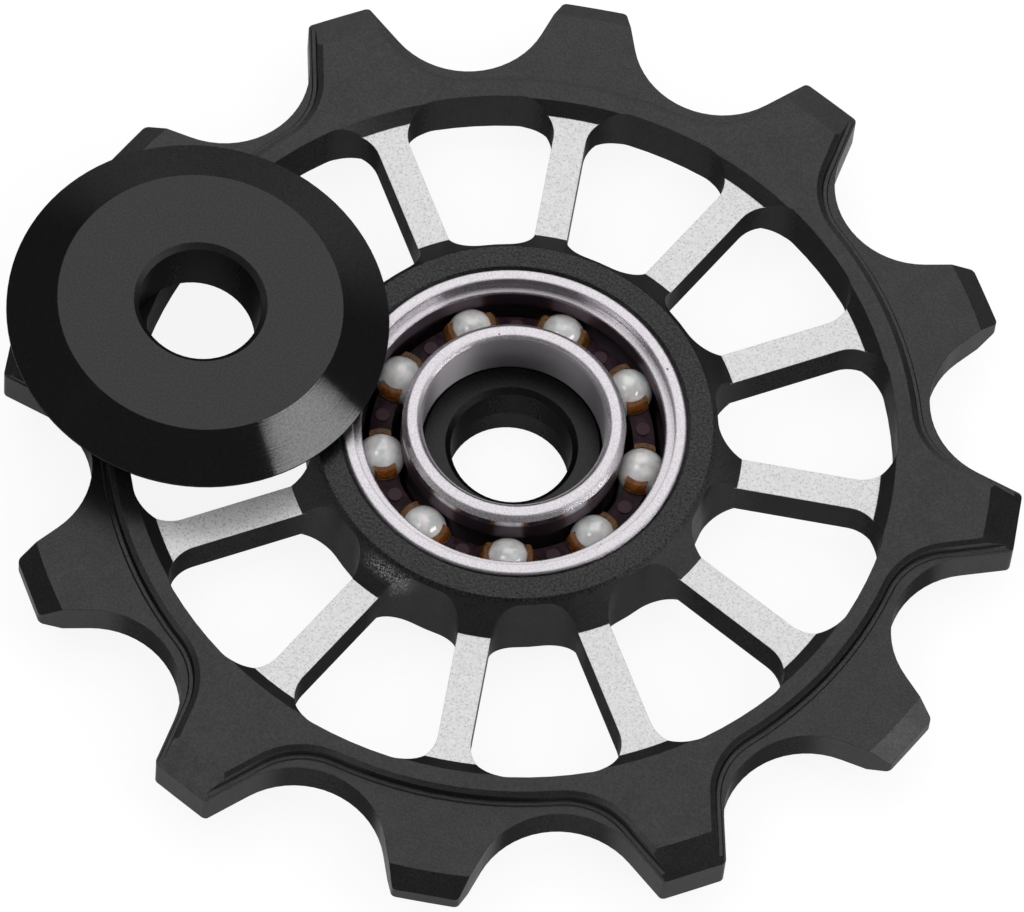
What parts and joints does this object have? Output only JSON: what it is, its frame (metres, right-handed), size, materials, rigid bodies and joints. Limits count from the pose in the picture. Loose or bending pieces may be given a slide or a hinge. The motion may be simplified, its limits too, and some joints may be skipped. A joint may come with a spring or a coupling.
{
  "type": "derailleur jockey wheel",
  "caption": "Spoked alloy derailleur pulley with wide and narrow teeth in turn, on an open ball bearing, with one bush cover seated and its mate lying loose on the wheel.",
  "frame": {"origin": "the middle of the bearing, on the axle", "axes": "+Z along the axle towards the open side, +X through the middle of a wide tooth, away from the loose cover"},
  "size_m": [0.0506, 0.0502, 0.01],
  "materials": {
    "black_anodised_alloy": "satin black anodised, with the spokes' faces machined bare",
    "black_anodised_cover": "turned and black anodised",
    "bearing_steel": "ground",
    "ball_ceramic": "polished",
    "cage_polymer": "moulded"
  },
  "bodies": {
    "bush": {"rear_cover": "black_anodised_cover", "bearing_inner_ring": "bearing_steel"},
    "wheel": {"pulley_wheel": "black_anodised_alloy", "bearing_outer_ring": "bearing_steel", "front_cover": "black_anodised_cover"},
    "cage": {"ball_cage": "cage_polymer"},
    "ball_1": {"ball_1": "ball_ceramic"},
    "ball_2": {"ball_2": "ball_ceramic"},
    "ball_3": {"ball_3": "ball_ceramic"},
    "ball_4": {"ball_4": "ball_ceramic"},
    "ball_5": {"ball_5": "ball_ceramic"},
    "ball_6": {"ball_6": "ball_ceramic"},
    "ball_7": {"ball_7": "ball_ceramic"},
    "ball_8": {"ball_8": "ball_ceramic"},
    "ball_9": {"ball_9": "ball_ceramic"}
  },
  "joints": [
    {"name": "wheel_spin", "type": "hinge", "parent": "bush", "child": "wheel", "pos_m": [0, 0, 0], "axis": [0, 0, 1], "continuous": true},
    {"name": "cage_spin", "type": "hinge", "parent": "bush", "child": "cage", "pos_m": [0, 0, 0], "axis": [0, 0, 1], "continuous": true},
    {"name": "ball_1_roll", "type": "hinge", "parent": "cage", "child": "ball_1", "pos_m": [0.00649, -0.00027, 0], "axis": [0, 0, 1], "continuous": true},
    {"name": "ball_2_roll", "type": "hinge", "parent": "cage", "child": "ball_2", "pos_m": [0.00515, 0.00397, 0], "axis": [0, 0, 1], "continuous": true},
    {"name": "ball_3_roll", "type": "hinge", "parent": "cage", "child": "ball_3", "pos_m": [0.0014, 0.00635, 0], "axis": [0, 0, 1], "continuous": true},
    {"name": "ball_4_roll", "type": "hinge", "parent": "cage", "child": "ball_4", "pos_m": [-0.00301, 0.00576, 0], "axis": [0, 0, 1], "continuous": true},
    {"name": "ball_5_roll", "type": "hinge", "parent": "cage", "child": "ball_5", "pos_m": [-0.00601, 0.00248, 0], "axis": [0, 0, 1], "continuous": true},
    {"name": "ball_6_roll", "type": "hinge", "parent": "cage", "child": "ball_6", "pos_m": [-0.0062, -0.00197, 0], "axis": [0, 0, 1], "continuous": true},
    {"name": "ball_7_roll", "type": "hinge", "parent": "cage", "child": "ball_7", "pos_m": [-0.00348, -0.00549, 0], "axis": [0, 0, 1], "continuous": true},
    {"name": "ball_8_roll", "type": "hinge", "parent": "cage", "child": "ball_8", "pos_m": [0.00086, -0.00644, 0], "axis": [0, 0, 1], "continuous": true},
    {"name": "ball_9_roll", "type": "hinge", "parent": "cage", "child": "ball_9", "pos_m": [0.0048, -0.00438, 0], "axis": [0, 0, 1], "continuous": true}
  ],
  "couplings": [
    {"joint": "cage_spin", "follows": "wheel_spin", "ratio": 0.59158},
    {"joint": "ball_1_roll", "follows": "wheel_spin", "ratio": 2.6384},
    {"joint": "ball_2_roll", "follows": "wheel_spin", "ratio": 2.6384},
    {"joint": "ball_3_roll", "follows": "wheel_spin", "ratio": 2.6384},
    {"joint": "ball_4_roll", "follows": "wheel_spin", "ratio": 2.6384},
    {"joint": "ball_5_roll", "follows": "wheel_spin", "ratio": 2.6384},
    {"joint": "ball_6_roll", "follows": "wheel_spin", "ratio": 2.6384},
    {"joint": "ball_7_roll", "follows": "wheel_spin", "ratio": 2.6384},
    {"joint": "ball_8_roll", "follows": "wheel_spin", "ratio": 2.6384},
    {"joint": "ball_9_roll", "follows": "wheel_spin", "ratio": 2.6384}
  ]
}
